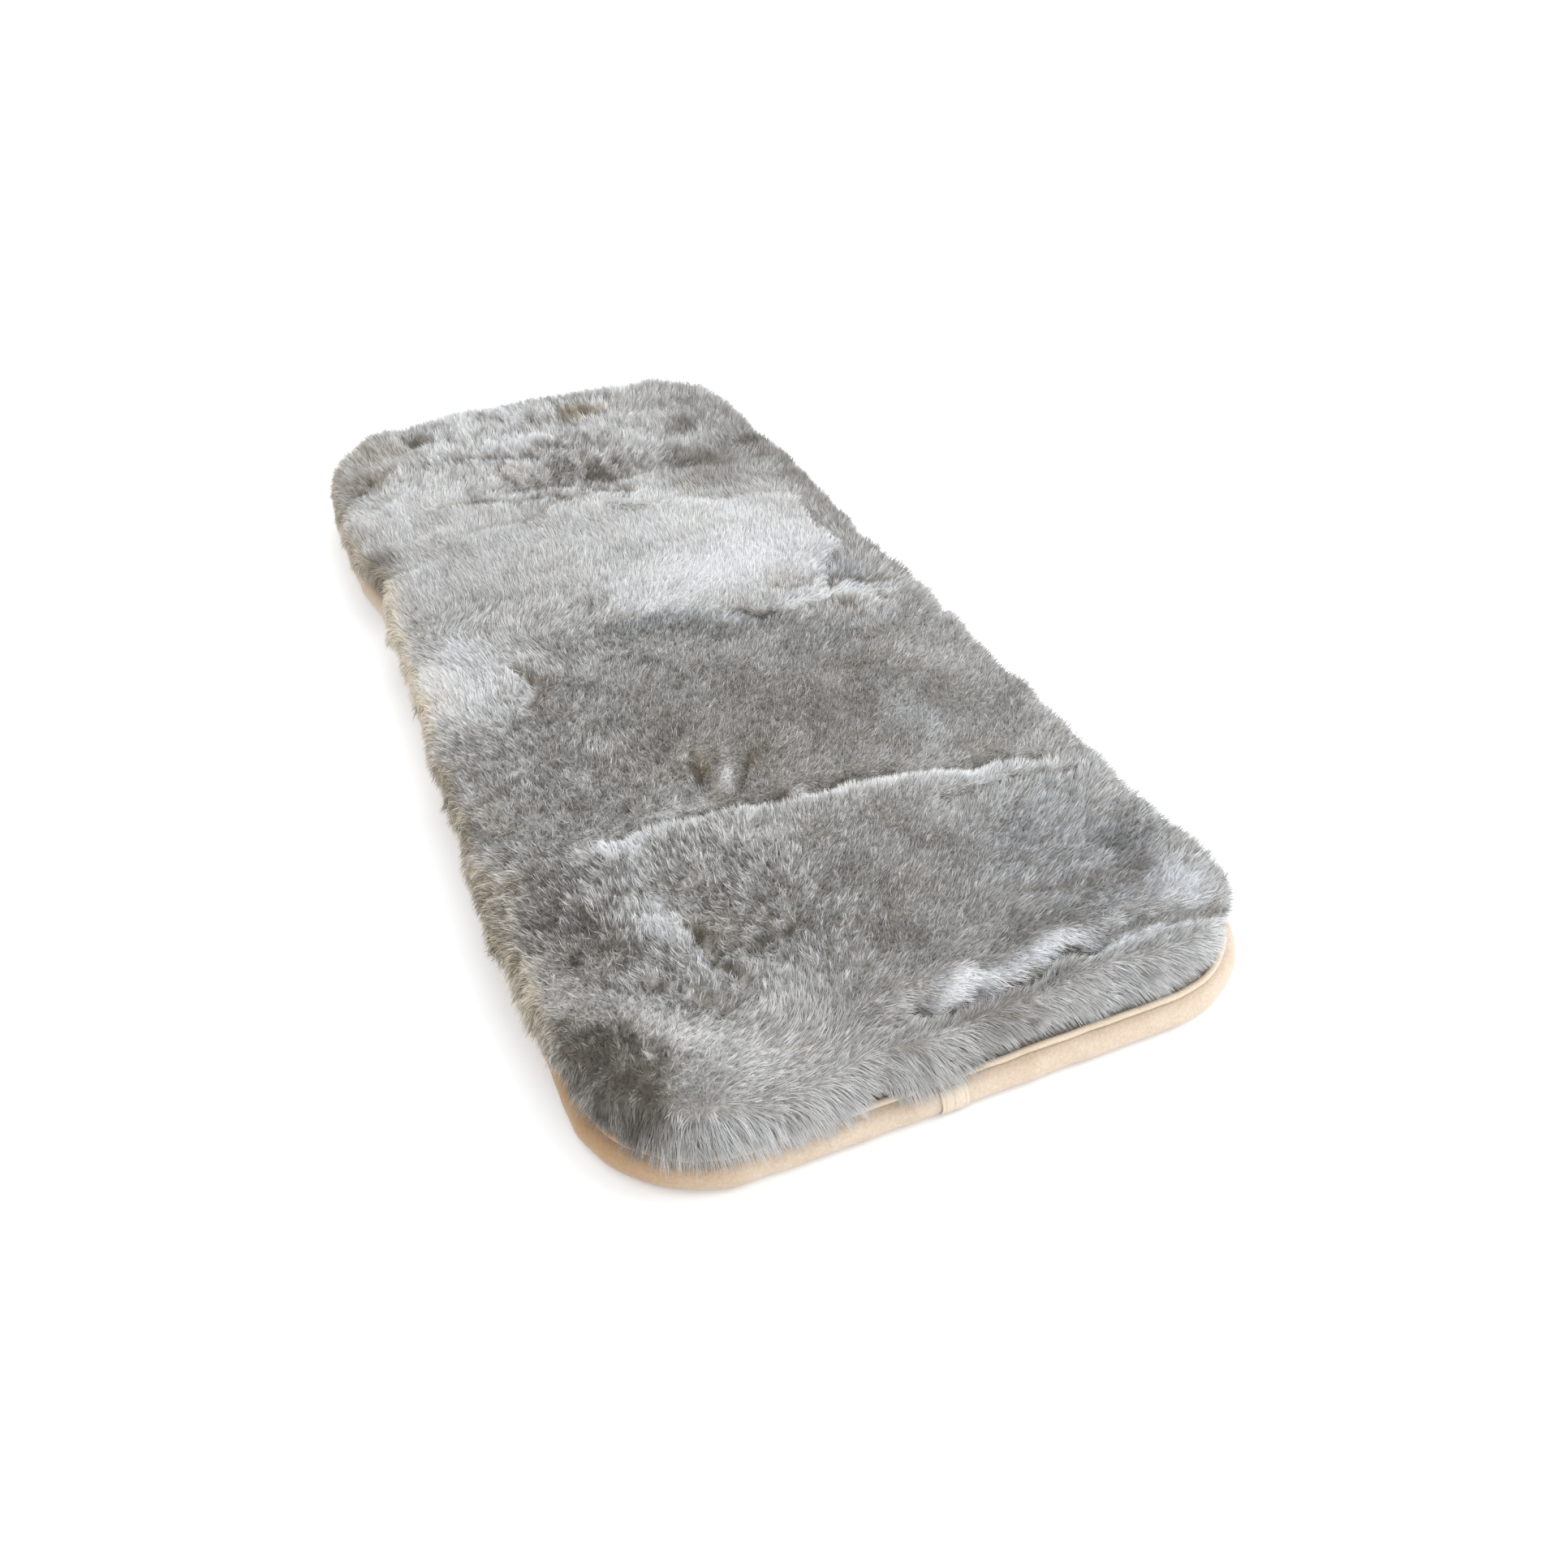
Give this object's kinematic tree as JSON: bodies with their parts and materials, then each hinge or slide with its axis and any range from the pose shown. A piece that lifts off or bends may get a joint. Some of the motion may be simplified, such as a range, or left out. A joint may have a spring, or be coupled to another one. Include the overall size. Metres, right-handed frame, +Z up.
{
  "type": "lambskin stroller liner",
  "caption": "Flat rounded liner for a stroller seat: grey lambskin fleece sewn onto a thin padded cloth backing with a rolled, piped edge.",
  "frame": {"origin": "middle of the backing's flat underside", "axes": "+Y from the foot end to the head end, +Z up out of the fleece, +X to the right when seen from the foot end"},
  "size_m": [0.3553, 0.8089, 0.0556],
  "materials": {
    "backing_cloth": "beige brushed cloth, matt",
    "edge_cloth": "light beige cloth, matt",
    "wool": "sheared grey lambskin wool, soft and matt"
  },
  "bodies": {
    "root": {"backing": "backing_cloth", "piping": "edge_cloth", "edge_lap": "edge_cloth", "fleece": "wool"}
  },
  "joints": []
}
